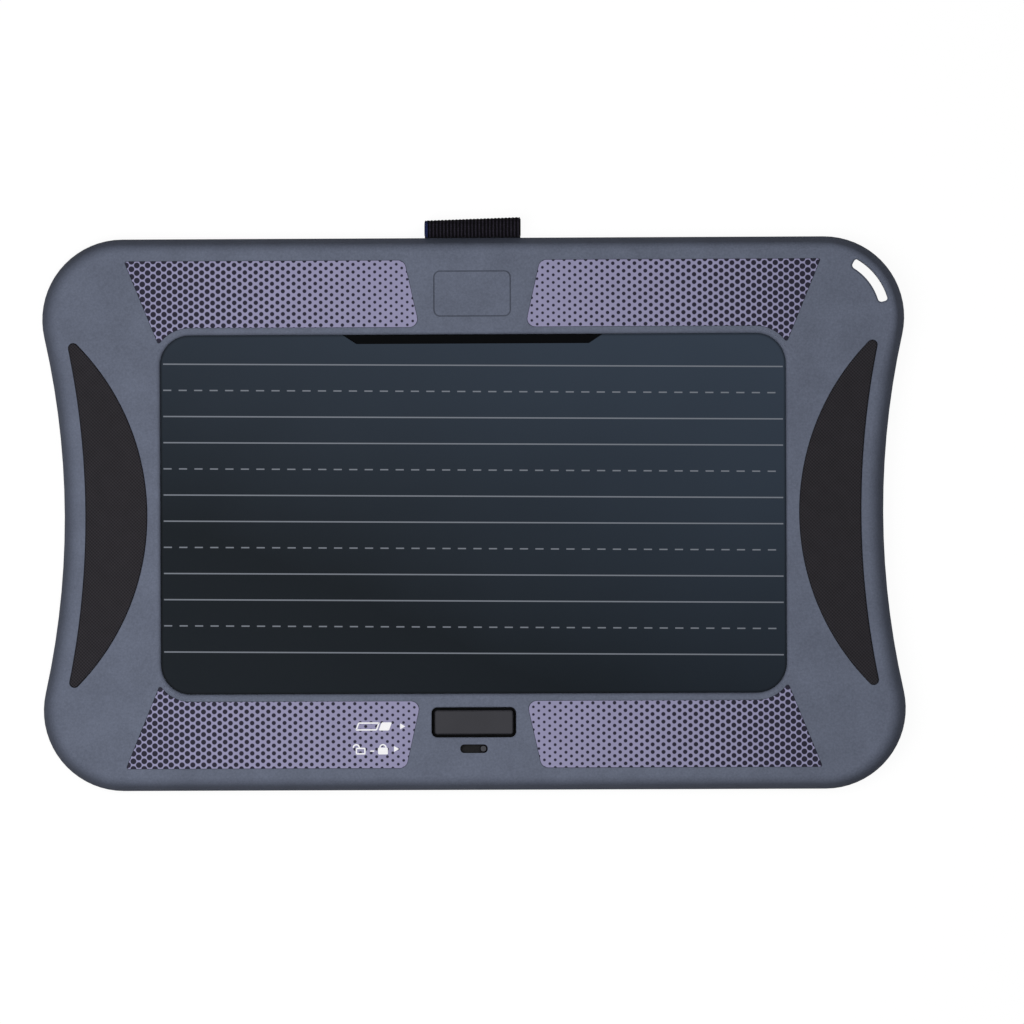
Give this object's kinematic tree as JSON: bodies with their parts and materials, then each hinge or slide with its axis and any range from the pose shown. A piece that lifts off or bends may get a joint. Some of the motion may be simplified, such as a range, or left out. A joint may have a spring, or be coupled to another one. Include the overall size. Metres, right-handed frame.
{
  "type": "lcd writing tablet",
  "caption": "Flat writing tablet with drawn-in sides, a framed ruled screen, crescent grips, erase button, lock slider, lanyard slot and a pen loop.",
  "frame": {"origin": "middle of the flat back face", "axes": "+X right along the long side, +Y towards the pen loop, +Z out of the screen"},
  "size_m": [0.3174, 0.2095, 0.0157],
  "materials": {
    "case_front": "satin moulded slate blue",
    "case_rear": "satin moulded dark slate",
    "screen_film": "clear ruled film over the dark writing layer",
    "lcd_layer": "dark writing layer",
    "black_sheet": "black stiff sheet",
    "foam": "closed-cell foam",
    "flex_film": "black coverlay on flexible circuit",
    "board": "solder mask",
    "connector": "ivory connector housing",
    "black_parts": "moulded black",
    "steel": "zinc-plated",
    "cell_steel": "polished nickel-plated",
    "contact_brass": "sprung brass",
    "control_plastic": "fine-textured dark grey",
    "grip_rubber": "soft twill-textured",
    "panel_print": "lavender with a dark dot pattern",
    "webbing": "ribbed black elastic"
  },
  "bodies": {
    "case": {"front_bezel": "case_front", "rear_cover": "case_rear", "ruled_film": "screen_film", "lcd_panel": "lcd_layer", "lcd_backer": "black_sheet", "lcd_gasket": "foam", "lcd_flex_tail": "flex_film", "circuit_board": "board", "flex_connector": "connector", "board_components": "black_parts", "board_screws": "steel", "erase_switch": "black_parts", "lock_switch": "steel", "battery_holder": "black_parts", "coin_cell": "cell_steel", "battery_contacts": "contact_brass", "grip_left": "grip_rubber", "grip_right": "grip_rubber", "panel_top_left": "panel_print", "panel_top_right": "panel_print", "panel_bottom_left": "panel_print", "panel_bottom_right": "panel_print", "pen_loop": "webbing", "loop_clamp": "black_parts", "clamp_screws": "steel", "case_screws": "steel"},
    "erase": {"erase_button": "control_plastic", "erase_plunger": "black_parts"},
    "lock": {"lock_knob": "control_plastic", "lock_lever": "black_parts"},
    "door": {"battery_door": "case_rear", "door_screws": "steel"}
  },
  "joints": [
    {"name": "erase_press", "type": "slide", "parent": "case", "child": "erase", "axis": [0, 0, -1], "range_m": [0, 0.0005], "stiffness_N_per_m": 2000, "springref_m": -0.0003},
    {"name": "lock_slide", "type": "slide", "parent": "case", "child": "lock", "axis": [-1, 0, 0], "range_m": [0, 0.0069]},
    {"name": "battery_door_lift", "type": "slide", "parent": "case", "child": "door", "axis": [0, 0, -1], "range_m": [0, 0.03]}
  ]
}
